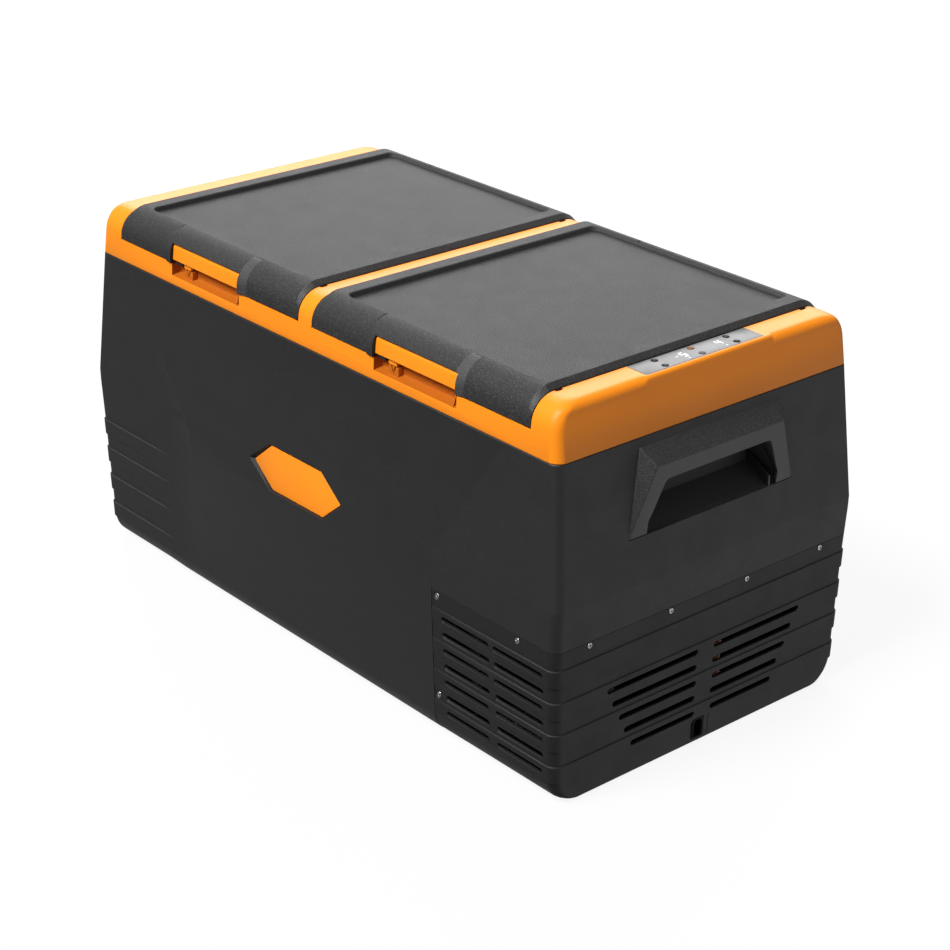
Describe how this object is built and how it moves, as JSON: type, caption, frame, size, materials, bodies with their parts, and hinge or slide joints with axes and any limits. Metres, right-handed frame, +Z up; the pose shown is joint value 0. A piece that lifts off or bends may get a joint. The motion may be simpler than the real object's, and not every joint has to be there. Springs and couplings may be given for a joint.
{
  "type": "compressor cooler fridge",
  "caption": "Portable compressor cooler chest with two rear-hinged tray lids over separate compartments, front latches, end carry handles, a top control panel and a vented machine bay.",
  "frame": {"origin": "middle of the footprint, on the face it stands on", "axes": "+X towards the compressor end with the control panel, -Y towards the front with the latches, +Z up"},
  "size_m": [0.843, 0.4402, 0.4428],
  "materials": {
    "body_plastic": "fine grained moulding",
    "frame_plastic": "fine grained moulding, orange",
    "lid_plastic": "fine grained moulding",
    "liner_plastic": "smooth",
    "insulation_foam": "rigid closed-cell foam",
    "seal_rubber": "matt",
    "pin_steel": "zinc plated",
    "sheet_steel": "galvanised",
    "aluminium": "bare",
    "compressor_enamel": "gloss black enamel",
    "black_plastic": "fine grained moulding",
    "set_button_plastic": "grey key",
    "power_button_plastic": "orange-brown key",
    "panel_plastic": "silver-grey fascia",
    "circuit_board": "solder mask",
    "badge_plastic": "orange insert, blank",
    "lamp_lens": "translucent",
    "copper": "drawn copper tube"
  },
  "bodies": {
    "cabinet": {"outer_shell": "body_plastic", "compressor_bay_cover": "body_plastic", "handle_left": "body_plastic", "handle_right": "body_plastic", "top_frame": "frame_plastic", "liner_left": "liner_plastic", "liner_right": "liner_plastic", "foam_insulation": "insulation_foam", "compressor_mount_1": "seal_rubber", "compressor_mount_2": "seal_rubber", "compressor_mount_3": "seal_rubber", "compressor_mount_4": "seal_rubber", "hinge_pin_left": "pin_steel", "hinge_pin_right": "pin_steel", "cover_screw_front_1": "pin_steel", "cover_screw_front_2": "pin_steel", "cover_screw_front_3": "pin_steel", "cover_screw_rear_1": "pin_steel", "cover_screw_rear_2": "pin_steel", "cover_screw_rear_3": "pin_steel", "cover_screw_end_1": "pin_steel", "cover_screw_end_2": "pin_steel", "cover_screw_end_3": "pin_steel", "cover_screw_end_4": "pin_steel", "base_plate": "sheet_steel", "compressor_bracket": "sheet_steel", "controller_box": "sheet_steel", "evaporator_left": "aluminium", "evaporator_right": "aluminium", "condenser": "aluminium", "compressor": "compressor_enamel", "dc_inlet": "black_plastic", "fan_shroud": "black_plastic", "control_panel": "panel_plastic", "display_board": "circuit_board", "badge": "badge_plastic", "interior_light": "lamp_lens", "filter_drier": "copper", "discharge_tube": "copper", "suction_tube": "copper"},
    "lid_left_body": {"lid_left": "lid_plastic", "lid_liner_left": "liner_plastic", "lid_foam_left": "insulation_foam", "lid_gasket_left": "seal_rubber", "latch_pin_left": "pin_steel"},
    "latch_left_body": {"latch_left": "frame_plastic"},
    "lid_right_body": {"lid_right": "lid_plastic", "lid_liner_right": "liner_plastic", "lid_foam_right": "insulation_foam", "lid_gasket_right": "seal_rubber", "latch_pin_right": "pin_steel"},
    "latch_right_body": {"latch_right": "frame_plastic"},
    "button_power": {"button_power": "power_button_plastic"},
    "button_left_up": {"button_left_up": "black_plastic"},
    "button_left_down": {"button_left_down": "black_plastic"},
    "button_right_up": {"button_right_up": "black_plastic"},
    "button_right_down": {"button_right_down": "black_plastic"},
    "button_set": {"button_set": "set_button_plastic"},
    "fan": {"fan_rotor": "black_plastic"}
  },
  "joints": [
    {"name": "lid_left_hinge", "type": "hinge", "parent": "cabinet", "child": "lid_left_body", "pos_m": [-0.1839, 0.208, 0.404], "axis": [-1, 0, 0], "range_deg": [0, 100]},
    {"name": "lid_right_hinge", "type": "hinge", "parent": "cabinet", "child": "lid_right_body", "pos_m": [0.18865, 0.208, 0.404], "axis": [-1, 0, 0], "range_deg": [0, 100]},
    {"name": "latch_left_hinge", "type": "hinge", "parent": "lid_left_body", "child": "latch_left_body", "pos_m": [-0.1854, -0.2003, 0.4215], "axis": [-1, 0, 0], "range_deg": [0, 30], "stiffness_Nm_per_rad": 0.2},
    {"name": "latch_right_hinge", "type": "hinge", "parent": "lid_right_body", "child": "latch_right_body", "pos_m": [0.18715, -0.2003, 0.4215], "axis": [-1, 0, 0], "range_deg": [0, 30], "stiffness_Nm_per_rad": 0.2},
    {"name": "button_power_press", "type": "slide", "parent": "cabinet", "child": "button_power", "axis": [0, 0, -1], "range_m": [0, 0.0005], "stiffness_N_per_m": 300},
    {"name": "button_left_up_press", "type": "slide", "parent": "cabinet", "child": "button_left_up", "axis": [0, 0, -1], "range_m": [0, 0.0005], "stiffness_N_per_m": 300},
    {"name": "button_left_down_press", "type": "slide", "parent": "cabinet", "child": "button_left_down", "axis": [0, 0, -1], "range_m": [0, 0.0005], "stiffness_N_per_m": 300},
    {"name": "button_right_up_press", "type": "slide", "parent": "cabinet", "child": "button_right_up", "axis": [0, 0, -1], "range_m": [0, 0.0005], "stiffness_N_per_m": 300},
    {"name": "button_right_down_press", "type": "slide", "parent": "cabinet", "child": "button_right_down", "axis": [0, 0, -1], "range_m": [0, 0.0005], "stiffness_N_per_m": 300},
    {"name": "button_set_press", "type": "slide", "parent": "cabinet", "child": "button_set", "axis": [0, 0, -1], "range_m": [0, 0.0005], "stiffness_N_per_m": 300},
    {"name": "fan_spin", "type": "hinge", "parent": "cabinet", "child": "fan", "pos_m": [0.318, 0.119, 0.09], "axis": [0, 1, 0], "continuous": true}
  ]
}
